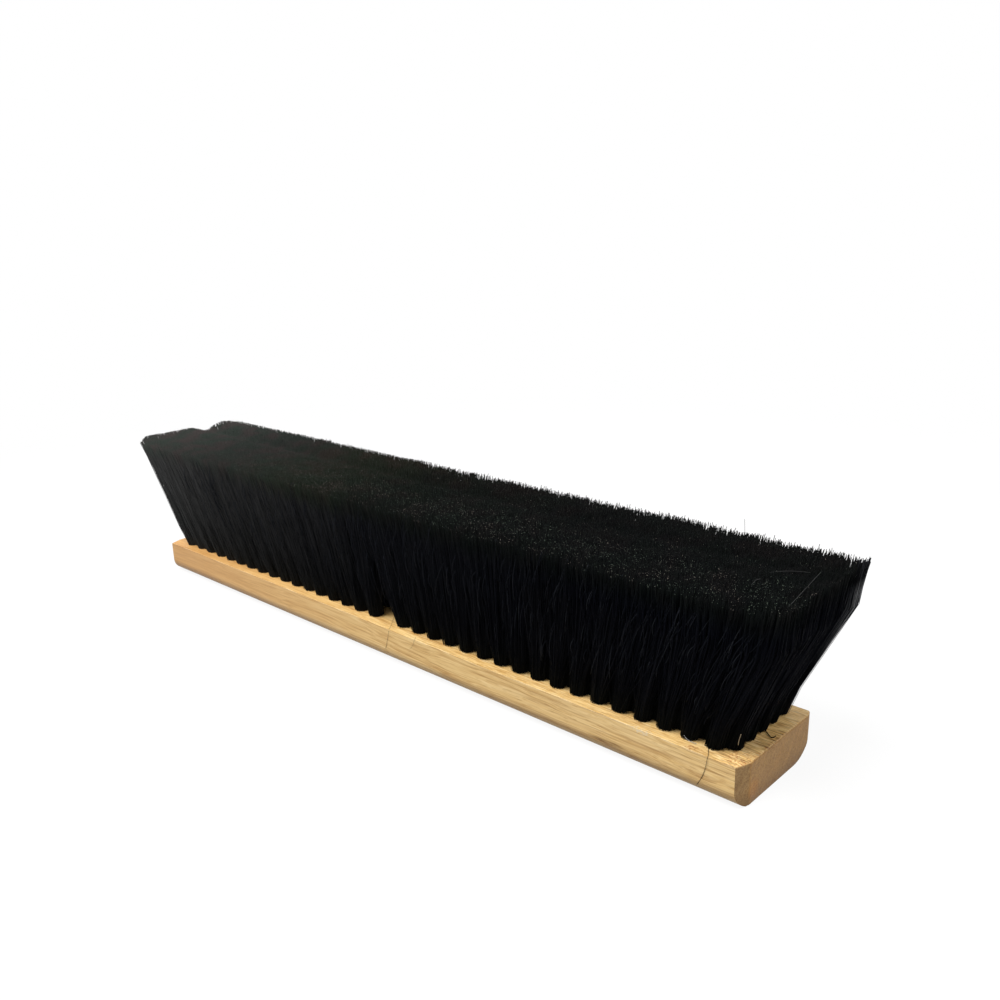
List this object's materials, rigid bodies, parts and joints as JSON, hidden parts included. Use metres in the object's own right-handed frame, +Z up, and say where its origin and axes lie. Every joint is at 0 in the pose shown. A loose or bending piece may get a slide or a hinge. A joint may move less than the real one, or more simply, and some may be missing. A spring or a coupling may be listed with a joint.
{
  "type": "push broom head",
  "caption": "Push broom head: a long flat hardwood block, rounded along its back, with staggered rows of stiff black tufts that flare out past its ends.",
  "frame": {"origin": "middle of the block's flat back, which is the lowest face with the bristles up", "axes": "+X along the block towards its right end, +Y towards the rear (the side the handle leans to), +Z up from the flat back to the drilled face and the bristle tips"},
  "size_m": [0.4896, 0.078, 0.0956],
  "materials": {
    "hardwood": "bare hardwood with long open grain, sanded and lightly sealed",
    "black_fibre": "stiff black synthetic fibre with cut ends, soft sheen along the strands"
  },
  "bodies": {
    "root": {"block": "hardwood", "tuft_bank_left_01": "black_fibre", "tuft_bank_left_02": "black_fibre", "tuft_bank_left_03": "black_fibre", "tuft_bank_left_04": "black_fibre", "tuft_bank_left_05": "black_fibre", "tuft_bank_left_06": "black_fibre", "tuft_bank_left_07": "black_fibre", "tuft_bank_left_08": "black_fibre", "tuft_bank_left_09": "black_fibre", "tuft_bank_left_10": "black_fibre", "tuft_bank_left_11": "black_fibre", "tuft_bank_left_12": "black_fibre", "tuft_bank_left_13": "black_fibre", "tuft_bank_left_14": "black_fibre", "tuft_bank_left_15": "black_fibre", "tuft_bank_left_16": "black_fibre", "tuft_bank_left_17": "black_fibre", "tuft_bank_right_01": "black_fibre", "tuft_bank_right_02": "black_fibre", "tuft_bank_right_03": "black_fibre", "tuft_bank_right_04": "black_fibre", "tuft_bank_right_05": "black_fibre", "tuft_bank_right_06": "black_fibre", "tuft_bank_right_07": "black_fibre", "tuft_bank_right_08": "black_fibre", "tuft_bank_right_09": "black_fibre", "tuft_bank_right_10": "black_fibre", "tuft_bank_right_11": "black_fibre", "tuft_bank_right_12": "black_fibre", "tuft_bank_right_13": "black_fibre", "tuft_bank_right_14": "black_fibre", "tuft_bank_right_15": "black_fibre", "tuft_bank_right_16": "black_fibre", "tuft_bank_right_17": "black_fibre"}
  },
  "joints": []
}
